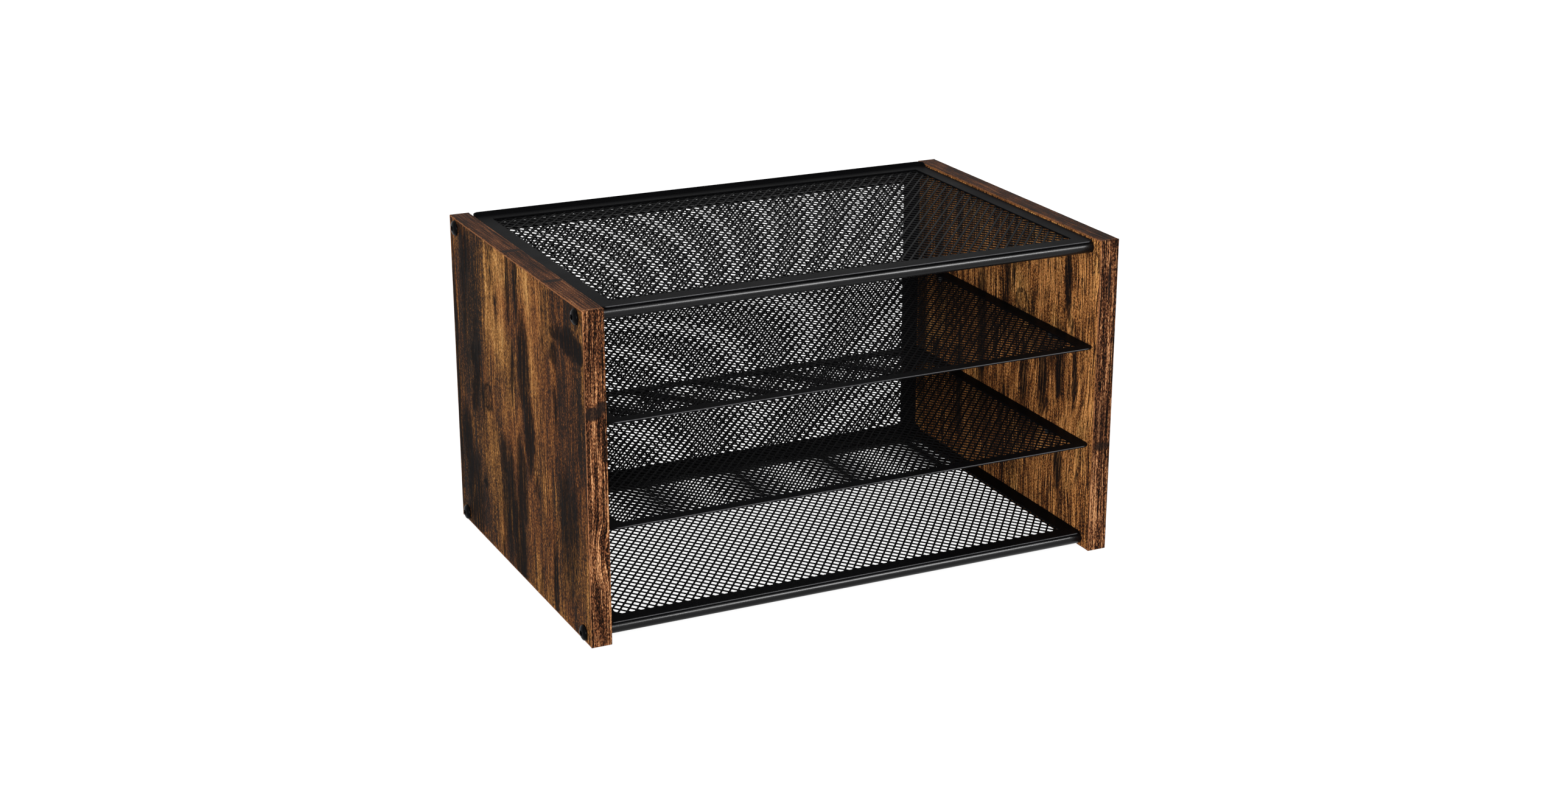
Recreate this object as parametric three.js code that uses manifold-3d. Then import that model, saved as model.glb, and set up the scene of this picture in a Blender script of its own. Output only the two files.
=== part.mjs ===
// Four-tier desktop file organizer: two wood-laminate side panels, four cross rods,
// four black shelves, each a plate rim with a diamond mesh fixed under it, and a back mesh.
// Millimetres, +Z up, the open front faces -Y, and the origin is on the desk at the
// middle of the width and of the depth.
import * as THREE from 'three';
import Module from 'manifold-3d';
import { mergeGeometries, mergeVertices } from 'three/addons/utils/BufferGeometryUtils.js';

const wasm = await Module();
wasm.setup();

// Side panels
const overallWidth = 350;
const panelDepth = 232.6;
const panelHeight = 203.7;
const panelThickness = 12.8;
const edgeBandThickness = 0.8;

// Cross rods
const rodDiameter = 7.2;
const rodInset = 11.2;
const bottomRodClearance = 2.1;
const rodSides = 20;

// Screws through the panels into the rod ends
const screwDiameter = 4;
const screwEngagement = 9;
const screwHeadDiameter = 9.6;
const screwHeadHeight = 2.6;
const screwHeadEdge = 0.5;
const socketAcrossFlats = 3;
const socketDepth = 1.4;
const screwSides = 16;
const hexSides = 6;
const domeSteps = 4;
const rodBoreGap = 0.15;
const rodBoreTipGap = 0.6;
const panelHoleGap = 0.2;

// All shelves
const plateThickness = 1;
const meshThickness = 1;
const meshLap = 2.5;
const strandWidth = 6;
const diamondsAcross = 9;
const diamondsDeep = 5;
const arcDivisions = 4;

// Top and bottom shelves, which lie on the rods
const topShelfSink = 1.5;
const fixedSideGap = 0.3;
const fixedSideBand = 10.1;
const fixedFrontOverhang = 0.35;
const fixedBackOverhang = 3.2;
const fixedCornerRadius = 4.5;
const meshRodGap = 0.4;
const meshBackLap = 0.9;
const lipHeight = 2.4;

// Back mesh, a sheet that stands upright behind the shelves, with a plain margin all round
const backMeshGap = 0.3;
const backMeshMargin = 12;

// Two middle shelves, which lie on pins and pull out to the front
const upperMiddleShelfHeight = 135.6;
const lowerMiddleShelfHeight = 71.6;
const middleSideGap = 0.4;
const middleSideBand = 8.8;
const middleFrontSetback = 1.1;
const middleBackGap = 1.2;
const middleEndBand = 8;
const middleCornerRadius = 6;

// Shelf pins
const pinDiameter = 5;
const pinInset = 45;
const pinHoleDepth = 7.5;
const pinHoleGap = 0.15;
const pinTipGap = 0.3;
const pinSeatGap = 0.3;
const pinMeshGap = 0.7;
const pinSides = 12;

// Places that follow from the sizes
const halfWidth = overallWidth / 2;
const wallX = halfWidth - panelThickness;
const backY = panelDepth / 2;
const frontY = -backY;
const rodRadius = rodDiameter / 2;
const rodY = backY - rodInset;
const topShelfHeight = panelHeight - topShelfSink;
const bottomShelfHeight = bottomRodClearance + rodDiameter + plateThickness;
const topRodZ = topShelfHeight - plateThickness - rodRadius;
const bottomRodZ = bottomRodClearance + rodRadius;
const pinY = backY - pinInset;
const pinProjection = middleSideGap + middleSideBand - meshLap - pinMeshGap;

// How far past a face a cutter reaches
const cutterReach = 1;

const woodMaterial = (color) => new THREE.MeshStandardMaterial({ color, roughness: 0.6, metalness: 0 });
const metalMaterial = (color) => new THREE.MeshStandardMaterial({ color, roughness: 0.45, metalness: 0.6 });
const boardWood = woodMaterial(0x5c3d26);
const frontBandWood = woodMaterial(0x6b4527);
const topBandWood = woodMaterial(0x4d3626);
const plateMetal = metalMaterial(0x232325);
const meshMetal = metalMaterial(0x1c1c1e);
const rodMetal = metalMaterial(0x29292b);
const screwMetal = metalMaterial(0x151516);

function mesh(name, geometry, material, x = 0, y = 0, z = 0) {
  const part = new THREE.Mesh(geometry, material);
  part.name = name;
  part.position.set(x, y, z);
  return part;
}

// Booleans on closed meshes
function toSolid(geometry) {
  const bare = geometry.clone();
  bare.deleteAttribute('normal');
  bare.deleteAttribute('uv');
  const merged = mergeVertices(bare);
  return new wasm.Manifold(new wasm.Mesh({
    numProp: 3,
    vertProperties: merged.attributes.position.array,
    triVerts: Uint32Array.from(merged.index.array),
  }));
}

function toGeometry(solid) {
  const result = solid.getMesh();
  const geometry = new THREE.BufferGeometry();
  geometry.setAttribute('position', new THREE.BufferAttribute(result.vertProperties, 3));
  geometry.setIndex(new THREE.BufferAttribute(result.triVerts, 1));
  geometry.computeVertexNormals();
  return geometry;
}

// Turns a solid made along +Y to lie along +X, or along -X when the side is -1
function alongX(geometry, side = 1) {
  const turn = new THREE.Matrix4().set(0, side, 0, 0, 0, 0, side, 0, 1, 0, 0, 0, 0, 0, 0, 1);
  return geometry.applyMatrix4(turn);
}

// Radius of the corners of a polygon whose flats lie at the given radius
const cornerRadius = (flatRadius, sides) => flatRadius / Math.cos(Math.PI / sides);

// A turned solid along +Y from points of radius and length. Laid along X, a flat faces up.
function turned(profile, sides) {
  const points = profile.map(([radius, length]) => new THREE.Vector2(radius, length));
  return new THREE.LatheGeometry(points, sides, Math.PI / sides);
}

// A cutter or pin along X between two places, given in either order
function barAlongX(radius, sides, fromX, toX) {
  const outer = cornerRadius(radius, sides);
  const low = Math.min(fromX, toX);
  const high = Math.max(fromX, toX);
  return alongX(turned([[0, low], [outer, low], [outer, high], [0, high]], sides));
}

// Rods and their screws share an axis; pins lie under each middle shelf
const place = (name, y, z) => ({ name, y, z });
const rodPlaces = [
  place('front_top', -rodY, topRodZ),
  place('back_top', rodY, topRodZ),
  place('front_bottom', -rodY, bottomRodZ),
  place('back_bottom', rodY, bottomRodZ),
];
const upperPinZ = upperMiddleShelfHeight - plateThickness - pinSeatGap - pinDiameter / 2;
const lowerPinZ = lowerMiddleShelfHeight - plateThickness - pinSeatGap - pinDiameter / 2;
const pinPlaces = [
  place('front_upper', -pinY, upperPinZ),
  place('back_upper', pinY, upperPinZ),
  place('front_lower', -pinY, lowerPinZ),
  place('back_lower', pinY, lowerPinZ),
];

// Side panel: a board with a wood-print band on each of its four edges

function boardGeometry(side) {
  const depth = panelDepth - 2 * edgeBandThickness;
  const height = panelHeight - 2 * edgeBandThickness;
  const board = new THREE.BoxGeometry(panelThickness, depth, height);
  board.translate(side * (halfWidth - panelThickness / 2), 0, panelHeight / 2);
  const outX = halfWidth + cutterReach;
  const inX = wallX - cutterReach;
  const pinHoleEnd = wallX + pinHoleDepth;
  let drilled = toSolid(board);
  for (const { y, z } of rodPlaces) {
    const hole = barAlongX(screwDiameter / 2 + panelHoleGap, screwSides, side * inX, side * outX);
    drilled = drilled.subtract(toSolid(hole.translate(0, y, z)));
  }
  for (const { y, z } of pinPlaces) {
    const hole = barAlongX(pinDiameter / 2 + pinHoleGap, pinSides, side * inX, side * pinHoleEnd);
    drilled = drilled.subtract(toSolid(hole.translate(0, y, z)));
  }
  return toGeometry(drilled);
}

function panel(handed, side) {
  const group = new THREE.Group();
  const x = side * (halfWidth - panelThickness / 2);
  const band = edgeBandThickness;
  const upright = new THREE.BoxGeometry(panelThickness, band, panelHeight);
  const level = new THREE.BoxGeometry(panelThickness, panelDepth - 2 * band, band);
  group.add(
    mesh(`${handed}_panel_board`, boardGeometry(side), boardWood),
    mesh(`${handed}_panel_front_band`, upright, frontBandWood, x, frontY + band / 2, panelHeight / 2),
    mesh(`${handed}_panel_back_band`, upright, frontBandWood, x, backY - band / 2, panelHeight / 2),
    mesh(`${handed}_panel_top_band`, level, topBandWood, x, 0, panelHeight - band / 2),
    mesh(`${handed}_panel_bottom_band`, level, topBandWood, x, 0, band / 2),
  );
  for (const { name, y, z } of rodPlaces) {
    group.add(mesh(`${handed}_${name}_screw`, screwGeometry(side), screwMetal, side * halfWidth, y, z));
  }
  for (const { name, y, z } of pinPlaces) {
    group.add(mesh(`${handed}_${name}_pin`, pinGeometry(side), rodMetal, side * wallX, y, z));
  }
  return group;
}

// Cross rod, with a blind bore in each end for its screw
function rodGeometry() {
  const outer = cornerRadius(rodRadius, rodSides);
  const bore = cornerRadius(screwDiameter / 2 + rodBoreGap, rodSides);
  const boreEnd = wallX - screwEngagement - rodBoreTipGap;
  const profile = [[0, -boreEnd], [bore, -boreEnd], [bore, -wallX], [outer, -wallX],
    [outer, wallX], [bore, wallX], [bore, boreEnd], [0, boreEnd]];
  return alongX(turned(profile, rodSides));
}

// Domed screw with a hex socket, its head's underside at zero and its shank going inwards
function screwGeometry(side) {
  const shank = screwDiameter / 2;
  const head = screwHeadDiameter / 2;
  const tip = -(panelThickness + screwEngagement);
  const dome = screwHeadHeight - screwHeadEdge;
  const profile = [[0, tip], [shank, tip], [shank, 0], [head, 0]];
  for (let step = 0; step < domeSteps; step += 1) {
    const angle = (step / domeSteps) * (Math.PI / 2);
    profile.push([head * Math.cos(angle), screwHeadEdge + dome * Math.sin(angle)]);
  }
  profile.push([0, screwHeadHeight]);
  const socketRadius = cornerRadius(socketAcrossFlats / 2, hexSides);
  const socketFloor = screwHeadHeight - socketDepth;
  const socketMouth = screwHeadHeight + cutterReach;
  const socket = turned([[0, socketFloor], [socketRadius, socketFloor],
    [socketRadius, socketMouth], [0, socketMouth]], hexSides);
  return alongX(toGeometry(toSolid(turned(profile, screwSides)).subtract(toSolid(socket))), side);
}

// Shelf pin, half sunk in the panel: its place is where it comes out of the panel
function pinGeometry(side) {
  return barAlongX(pinDiameter / 2, pinSides, -side * pinProjection, side * (pinHoleDepth - pinTipGap));
}

// Plate outlines, seen from above
function rectangle(halfX, front, back) {
  return [[-halfX, front], [halfX, front], [halfX, back], [-halfX, back]]
    .map(([x, y]) => new THREE.Vector2(x, y));
}

function roundedPlate(halfX, front, back, radius) {
  const quarter = Math.PI / 2;
  const shape = new THREE.Shape();
  shape.absarc(-halfX + radius, front + radius, radius, 2 * quarter, 3 * quarter);
  shape.absarc(halfX - radius, front + radius, radius, 3 * quarter, 4 * quarter);
  shape.absarc(halfX - radius, back - radius, radius, 0, quarter);
  shape.absarc(-halfX + radius, back - radius, radius, quarter, 2 * quarter);
  return shape;
}

// The upturned lip follows the back edge round both back corners
function lipOutline(halfX, back, radius) {
  const quarter = Math.PI / 2;
  const inner = radius - plateThickness;
  const shape = new THREE.Shape();
  shape.absarc(halfX - radius, back - radius, radius, 0, quarter);
  shape.absarc(-halfX + radius, back - radius, radius, quarter, 2 * quarter);
  shape.absarc(-halfX + radius, back - radius, inner, 2 * quarter, quarter, true);
  shape.absarc(halfX - radius, back - radius, inner, quarter, 0, true);
  return shape;
}

function extruded(shape, depth) {
  return new THREE.ExtrudeGeometry(shape, { depth, bevelEnabled: false, curveSegments: arcDivisions });
}

function rimGeometry(shelf) {
  const { halfX, front, back, radius, window } = shelf;
  const shape = roundedPlate(halfX, front, back, radius);
  shape.holes.push(new THREE.Path(rectangle(window.halfX, window.front, window.back)));
  const plate = extruded(shape, plateThickness);
  if (!shelf.lip) return plate;
  const lip = extruded(lipOutline(halfX, back, radius), plateThickness + lipHeight);
  return toGeometry(toSolid(plate).add(toSolid(lip)));
}

// Diamond mesh: two crossing sets of slanting strands, left between diamond openings.
// The openings end at the window's edge, and the sheet's border lies under the rim.
function meshGeometry(shelf) {
  const { window, laps } = shelf;
  const pitchX = 2 * window.halfX / diamondsAcross;
  const pitchY = (window.back - window.front) / diamondsDeep;
  const strandSpacing = (pitchX * pitchY) / Math.hypot(pitchX, pitchY);
  const openShare = 1 - strandWidth / strandSpacing;
  const reachX = openShare * pitchX / 2;
  const reachY = openShare * pitchY / 2;
  const outline = rectangle(window.halfX + laps.side, window.front - laps.front, window.back + laps.back);
  const cutters = [];
  const rounding = 1e-6;
  const inside = ({ x, y }) => Math.abs(x) < window.halfX + rounding
    && y > window.front - rounding && y < window.back + rounding;
  for (let column = 0; column <= 2 * diamondsAcross; column += 1) {
    for (let row = column % 2; row <= 2 * diamondsDeep; row += 2) {
      const x = -window.halfX + column * pitchX / 2;
      const y = window.front + row * pitchY / 2;
      const corners = [[x + reachX, y], [x, y + reachY], [x - reachX, y], [x, y - reachY]];
      const opening = corners.map((corner) => new THREE.Vector2(...corner)).filter(inside);
      if (opening.length === 2) opening.push(new THREE.Vector2(x, y));
      cutters.push(extruded(new THREE.Shape(opening), meshThickness + 2 * cutterReach));
    }
  }
  const openings = mergeGeometries(cutters).translate(0, 0, -cutterReach);
  const sheet = extruded(new THREE.Shape(outline), meshThickness);
  return toGeometry(toSolid(sheet).subtract(toSolid(openings)));
}

// Stands a flat sheet upright, with its upper side to the front
function standing(geometry) {
  const turn = new THREE.Matrix4().set(1, 0, 0, 0, 0, 0, -1, 0, 0, 1, 0, 0, 0, 0, 0, 1);
  return geometry.applyMatrix4(turn);
}

function shelfParts(name, shelf) {
  const group = new THREE.Group();
  group.position.z = shelf.height - plateThickness;
  group.add(
    mesh(`${name}_rim`, rimGeometry(shelf), plateMetal),
    mesh(`${name}_mesh`, meshGeometry(shelf), meshMetal, 0, 0, -meshThickness),
  );
  return group;
}

// Top and bottom shelves: the mesh ends just short of the rods
const meshEdgeInset = rodInset + rodRadius + meshRodGap;
const fixedShelf = {
  halfX: wallX - fixedSideGap,
  front: -rodY - rodRadius - fixedFrontOverhang,
  back: rodY + rodRadius + fixedBackOverhang,
  radius: fixedCornerRadius,
  lip: true,
  window: {
    halfX: wallX - fixedSideGap - fixedSideBand,
    front: frontY + meshEdgeInset + meshLap,
    back: backY - meshEdgeInset - meshBackLap,
  },
  laps: { side: meshLap, front: meshLap, back: meshBackLap },
};

// Back mesh: its margins cross behind the edges of the top and bottom shelves. The front
// and back of its outline, as it is made lying flat, become its lower and upper edge.
const backMesh = {
  y: fixedShelf.back + backMeshGap,
  window: {
    halfX: fixedShelf.halfX - backMeshMargin,
    front: bottomRodClearance + backMeshMargin,
    back: topShelfHeight - backMeshMargin,
  },
  laps: { side: backMeshMargin, front: backMeshMargin, back: backMeshMargin },
};

// Middle shelves: flat, alike at front and back, and ending just short of the back mesh
const middleFront = frontY + middleFrontSetback;
const middleBack = backMesh.y - middleBackGap;
const middleShelf = {
  halfX: wallX - middleSideGap,
  front: middleFront,
  back: middleBack,
  radius: middleCornerRadius,
  lip: false,
  window: {
    halfX: wallX - middleSideGap - middleSideBand,
    front: middleFront + middleEndBand,
    back: middleBack - middleEndBand,
  },
  laps: { side: meshLap, front: meshLap, back: meshLap },
};

const organizer = new THREE.Group();
organizer.add(
  panel('left', -1),
  panel('right', 1),
  ...rodPlaces.map(({ name, y, z }) => mesh(`${name}_rod`, rodGeometry(), rodMetal, 0, y, z)),
  shelfParts('top_shelf', { ...fixedShelf, height: topShelfHeight }),
  shelfParts('upper_middle_shelf', { ...middleShelf, height: upperMiddleShelfHeight }),
  shelfParts('lower_middle_shelf', { ...middleShelf, height: lowerMiddleShelfHeight }),
  shelfParts('bottom_shelf', { ...fixedShelf, height: bottomShelfHeight }),
  mesh('back_mesh', standing(meshGeometry(backMesh)), meshMetal, 0, backMesh.y + meshThickness, 0),
);

export default organizer;
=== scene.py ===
import math
import random

import bmesh
import bpy
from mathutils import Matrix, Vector


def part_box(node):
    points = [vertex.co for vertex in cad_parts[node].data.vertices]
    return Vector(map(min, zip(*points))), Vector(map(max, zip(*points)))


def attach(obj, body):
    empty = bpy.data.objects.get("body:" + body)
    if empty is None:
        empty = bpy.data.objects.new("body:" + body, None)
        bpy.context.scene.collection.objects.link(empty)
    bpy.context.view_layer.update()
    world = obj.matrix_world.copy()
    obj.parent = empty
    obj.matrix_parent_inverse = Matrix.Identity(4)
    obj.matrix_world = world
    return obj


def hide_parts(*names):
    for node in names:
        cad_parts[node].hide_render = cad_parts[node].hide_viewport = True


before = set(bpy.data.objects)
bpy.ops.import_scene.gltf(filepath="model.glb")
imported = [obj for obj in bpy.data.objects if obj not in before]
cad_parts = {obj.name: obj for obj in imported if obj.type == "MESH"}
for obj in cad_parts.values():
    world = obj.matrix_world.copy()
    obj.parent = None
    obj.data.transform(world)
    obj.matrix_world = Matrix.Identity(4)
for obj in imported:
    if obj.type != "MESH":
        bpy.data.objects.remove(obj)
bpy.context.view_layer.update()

# A millimetre in the scene's metres, then shared sizes in millimetres
MM = 0.001
PANEL_INNER = 162.2
PANEL_OUTER = 175.0
PANEL_MIDDLE = (PANEL_INNER + PANEL_OUTER) / 2
PANEL_FRONT = -116.3
PLATE_THICKNESS = 1.0
MERGE_DISTANCE = 0.002

# Words that names are made of; each side has its sign along X
SIDES = {"left": -1, "right": 1}
CORNERS = ("front_top", "back_top", "front_bottom", "back_bottom")
PIN_PLACES = ("front_upper", "back_upper", "front_lower", "back_lower")

# Edges that turn by more than these angles, in degrees, are shaded sharp
MESH_SHARP = 20
SCREW_SHARP = 38
TURNED_SHARP = 40
BAND_SHARP = 50
PLATE_SHARP = 60

FILLET_STEPS = 4


# Small helpers for shapes
def add_object(name, data):
    """A new object in the scene."""
    thing = bpy.data.objects.new(name, data)
    bpy.context.scene.collection.objects.link(thing)
    return thing


def add_piece(name, vertices, faces, material, sharp_angle, weighted=False):
    """One closed mesh object, from points in millimetres."""
    bm = bmesh.new()
    points = [bm.verts.new([MM * value for value in vertex]) for vertex in vertices]
    for face in faces:
        bm.faces.new([points[index] for index in face])
    bmesh.ops.remove_doubles(bm, verts=bm.verts, dist=MERGE_DISTANCE * MM)
    bmesh.ops.recalc_face_normals(bm, faces=bm.faces)
    return finish_piece(name, bm, material, sharp_angle, weighted)


def finish_piece(name, bm, material, sharp_angle, weighted=False):
    """Turns a bmesh into a smooth-shaded object with sharp edges above an angle."""
    mesh = bpy.data.meshes.new(name)
    bm.to_mesh(mesh)
    bm.free()
    mesh.shade_smooth()
    mesh.set_sharp_from_angle(angle=math.radians(sharp_angle))
    mesh.materials.append(material)
    piece = add_object(name, mesh)
    if weighted:
        modifier = piece.modifiers.new("Even normals", "WEIGHTED_NORMAL")
        modifier.keep_sharp = True
    return piece


def place(piece, body, node):
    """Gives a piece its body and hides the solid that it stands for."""
    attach(piece, body)
    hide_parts(node)


def span(node):
    """Lowest and highest corner of a solid, in millimetres."""
    low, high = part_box(node)
    return low / MM, high / MM


def loft(loops, closed):
    """Vertices and quads between neighbouring loops of one length."""
    count = len(loops[0])
    vertices = [point for loop in loops for point in loop]
    faces = []
    for row in range(len(loops) if closed else len(loops) - 1):
        near = row * count
        far = (row + 1) % len(loops) * count
        for index in range(count):
            following = (index + 1) % count
            faces.append((near + index, near + following, far + following, far + index))
    return vertices, faces


def quarter(steps):
    """Angles from nought to a right angle."""
    return [math.pi / 2 * step / steps for step in range(steps + 1)]


def fillet(radius, steps=FILLET_STEPS):
    """A rounded corner: (inset, drop), from its flat side to its upright one."""
    return [(radius * (1 - math.sin(angle)), radius * (1 - math.cos(angle)))
            for angle in quarter(steps)]


# Small helpers for materials
def paint(red, green, blue):
    """A colour as it is written on screen, from 0 to 255, in linear light."""
    def linear(value):
        value /= 255
        return value / 12.92 if value <= 0.04045 else ((value + 0.055) / 1.055) ** 2.4
    return (linear(red), linear(green), linear(blue), 1.0)


class Nodes:
    """Adds nodes to one tree and joins them as they are made."""

    def __init__(self, tree):
        self.tree = tree

    def put(self, socket, value):
        if isinstance(value, bpy.types.NodeSocket):
            self.tree.links.new(value, socket)
        else:
            socket.default_value = value

    def fill(self, sockets, values):
        for key, value in values.items():
            self.put(sockets[key], value)

    def add(self, kind, inputs=None, **settings):
        node = self.tree.nodes.new(kind)
        for key, value in settings.items():
            setattr(node, key, value)
        self.fill(node.inputs, inputs or {})
        return node

    def math(self, operation, *values):
        return self.add("ShaderNodeMath", dict(enumerate(values)), operation=operation).outputs[0]

    def vector(self, operation, *values):
        node = self.add("ShaderNodeVectorMath", dict(enumerate(values)), operation=operation)
        return node.outputs["Value" if operation == "LENGTH" else "Vector"]

    def times(self, first, second):
        return self.math("MULTIPLY", first, second)

    def minus(self, first, second):
        return self.math("SUBTRACT", first, second)

    def scale(self, vector, factor):
        scaled = self.vector("SCALE", vector)
        self.put(scaled.node.inputs["Scale"], factor)
        return scaled

    def chain(self, operation, values):
        """Joins any number of values by one operation, such as MAXIMUM."""
        result = values[0]
        for value in values[1:]:
            result = self.math(operation, result, value)
        return result

    def total(self, *values):
        return self.chain("ADD", values)

    def combine(self, across, along, through):
        node = self.add("ShaderNodeCombineXYZ", {"X": across, "Y": along, "Z": through})
        return node.outputs[0]

    def separate(self, position):
        return self.add("ShaderNodeSeparateXYZ", {0: position}).outputs

    def flat_length(self, offset):
        """Length of an offset, its third part left out."""
        parts = self.separate(offset)
        return self.vector("LENGTH", self.combine(parts["X"], parts["Y"], 0.0))

    def noise(self, position, sizes, detail=2.0, roughness=0.5):
        """Noise with features of about these sizes in millimetres, from 0 to 1."""
        scaled = self.vector("DIVIDE", position, sizes)
        settings = {"Vector": scaled, "Scale": 1.0, "Detail": detail, "Roughness": roughness}
        return self.add("ShaderNodeTexNoise", settings).outputs[0]

    def noises(self, position, table):
        """Several noises by name, from a table of (sizes, detail, roughness)."""
        return {name: self.noise(position, *settings) for name, settings in table.items()}

    def spread(self, value, gain, offset=0.0):
        """A noise value centred on the offset, with its contrast multiplied."""
        return self.math("MULTIPLY_ADD", value, gain, offset - gain / 2)

    def shift(self, position, sizes, reach):
        """Noise centred on nought, for moving a place to either side."""
        return self.spread(self.noise(position, sizes), reach)

    def fade(self, value, low, high, to_low=0.0, to_high=1.0):
        """A smooth step between two values."""
        settings = {"Value": value, "From Min": low, "From Max": high,
                    "To Min": to_low, "To Max": to_high}
        node = self.add("ShaderNodeMapRange", settings, interpolation_type="SMOOTHSTEP")
        return node.outputs[0]

    # A Mix node has an A and a B for every kind of value, so its sockets go by number
    def mix(self, factor, first, second):
        """A colour between two colours."""
        node = self.add("ShaderNodeMix", {0: factor, 6: first, 7: second}, data_type="RGBA")
        return node.outputs[2]

    def between(self, factor, first, second):
        """A value between two values."""
        return self.add("ShaderNodeMix", {0: factor, 2: first, 3: second}).outputs[0]

    def ramp(self, value, stops):
        node = self.add("ShaderNodeValToRGB", {"Fac": value})
        elements = node.color_ramp.elements
        while len(elements) < len(stops):
            elements.new(0.5)
        for element, (position, colour) in zip(elements, stops):
            element.position = position
            element.color = paint(*colour)
        return node.outputs[0]

    def group(self, tree, inputs):
        """One placed group, as its outputs by name."""
        return self.add("ShaderNodeGroup", inputs, node_tree=tree).outputs


def new_group(name, inputs, outputs):
    """A shader group of a place and other inputs, each with its usual value."""
    tree = bpy.data.node_groups.new(name, "ShaderNodeTree")
    for label, value in {"Position": NOWHERE, **inputs}.items():
        kind = "Float" if isinstance(value, float) else TUPLE_KINDS[len(value)]
        socket = tree.interface.new_socket(label, in_out="INPUT", socket_type="NodeSocket" + kind)
        socket.default_value = value
    for label, kind in outputs:
        tree.interface.new_socket(label, in_out="OUTPUT", socket_type="NodeSocket" + kind)
    nodes = Nodes(tree)
    source = nodes.add("NodeGroupInput").outputs
    result = nodes.add("NodeGroupOutput").inputs
    return nodes, source, result


NOWHERE = (0.0, 0.0, 0.0)
BLACK = (0.0, 0.0, 0.0, 1.0)
TUPLE_KINDS = {3: "Vector", 4: "Color"}
MASK_OUTPUT = [("Mask", "Float")]
FINISH_OUTPUTS = [("Colour", "Color"), ("Roughness", "Float"), ("Height", "Float")]

# Noises by name: size in millimetres across, along and through, then detail and roughness
PRINT_NOISES = {
    "fields": ((24.0, 85.0, 9.0), 3.0, 0.55),
    "strips": ((6.0, 70.0, 9.0), 2.0, 0.5),
    "lines": ((1.1, 40.0, 9.0), 2.0, 0.6),
    "pores": ((0.85, 18.0, 9.0), 2.0, 0.6),
    "flecks": ((0.75, 1.3, 9.0), 2.0, 0.65),
    "dashes": ((0.85, 4.0, 9.0), 2.0, 0.6),
    "hue": ((34.0, 60.0, 9.0), 2.0, 0.5),
    "smoke": ((13.0, 60.0, 9.0), 3.0, 0.55),
}
EDGE_NOISES = {
    "ridges": ((0.55, 40.0, 9.0), 1.0, 0.5),
    "breaks": ((0.42, 1.5, 9.0), 2.0, 0.6),
    "fields": ((9.0, 34.0, 9.0), 2.0, 0.5),
}
COAT_NOISES = {
    "peel": ((0.55, 0.55, 0.55), 2.0, 0.6),
    "clouds": ((38.0, 38.0, 38.0), 3.0, 0.5),
}

# Shifts of the grain: size of the waves and how far they move it, in millimetres
PRINT_DRIFT = ((60.0, 130.0, 9.0), 22.0)
PRINT_WAVER = ((9.0, 24.0, 9.0), 2.6)
EDGE_SWAY = ((16.0, 40.0, 9.0), 2.4)
EDGE_JITTER = ((2.4, 5.0, 9.0), 0.45)
SWIRL_REACH = 2.4
KNOT_WOBBLE = ((3.0, 5.0, 9.0), 4.0)
KNOT_RING_TURN = 2.6
MARK_WARP = ((7.0, 24.0, 9.0), 4.5)
MARK_WARP_ALONG = ((5.0, 9.0, 9.0), 14.0)

# Sizes of patches, in millimetres
KNOT_PATCH_SIZE = (3.5, 6.0, 9.0)
CHIP_SIZE = (2.2, 2.2, 2.2)
# Patches that make the plates' painted edge highlight uneven
HIGHLIGHT_PATCH_SIZE = (9.0, 9.0, 9.0)

# Colours of the wood, from dark to light
RED_BROWN = [
    (0.0, (15, 12, 11)), (0.22, (38, 24, 17)), (0.42, (78, 46, 25)),
    (0.58, (112, 67, 34)), (0.78, (148, 94, 49)), (1.0, (188, 132, 76))]
GOLDEN = [
    (0.0, (15, 12, 11)), (0.22, (44, 29, 18)), (0.42, (94, 60, 30)),
    (0.58, (136, 90, 45)), (0.78, (174, 121, 64)), (1.0, (208, 158, 96))]
EDGE_BROWN = [
    (0.0, (13, 9, 7)), (0.25, (35, 21, 14)), (0.45, (75, 44, 28)),
    (0.62, (111, 68, 42)), (0.8, (148, 97, 61)), (1.0, (194, 144, 99))]
SOOT = paint(15, 13, 13)
CRACK = paint(28, 20, 16)
EDGE_SOOT = paint(28, 23, 21)
WORN_WOOD = paint(158, 104, 66)
WOOD_GLOSS = 0.015

# Black coats: colour in the pits and on the peaks, roughness, gloss and strength of the peel
COAT_LOOKS = {
    "Plate": (paint(11, 11, 12), paint(21, 21, 23), 0.42, 0.0075, 0.1),
    "Mesh": (paint(13, 13, 14), paint(25, 25, 27), 0.45, 0.012, 0.1),
    "Rod": (paint(9, 9, 10), paint(19, 19, 21), 0.27, 0.16, 0.02),
    "Screw": (paint(4, 4, 5), paint(10, 10, 12), 0.22, 0.03, 0.05),
    "Pin": (paint(20, 20, 21), paint(52, 52, 54), 0.4, 0.3, 0.15),
}
# Colour of the painted highlight along a plate's upper front corner
PAINTED_EDGE_HIGHLIGHT = paint(108, 108, 110)

# Reliefs: strength, and depth in millimetres
BOARD_RELIEF = (0.5, 0.12)
BAND_RELIEF = (0.6, 0.22)
PEEL_DEPTH = 0.03

# Wear along the long edges of a band
WEAR_WIDTH = 0.55
WEAR_STRENGTH = 0.6


# The numbers inside the groups are contrasts and limits of noise values
def stain_group():
    """A soft oval mark: 1 at its middle and 0 outside."""
    inputs = {"Middle": NOWHERE, "Half size": (10.0, 10.0, 1.0), "Strength": 1.0}
    nodes, source, result = new_group("Stain", inputs, MASK_OUTPUT)
    offset = nodes.vector("SUBTRACT", source["Position"], source["Middle"])
    reach = nodes.flat_length(nodes.vector("DIVIDE", offset, source["Half size"]))
    inside = nodes.fade(reach, 0.35, 1.25, 1.0, 0.0)
    nodes.put(result["Mask"], nodes.times(inside, source["Strength"]))
    return nodes.tree


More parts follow.
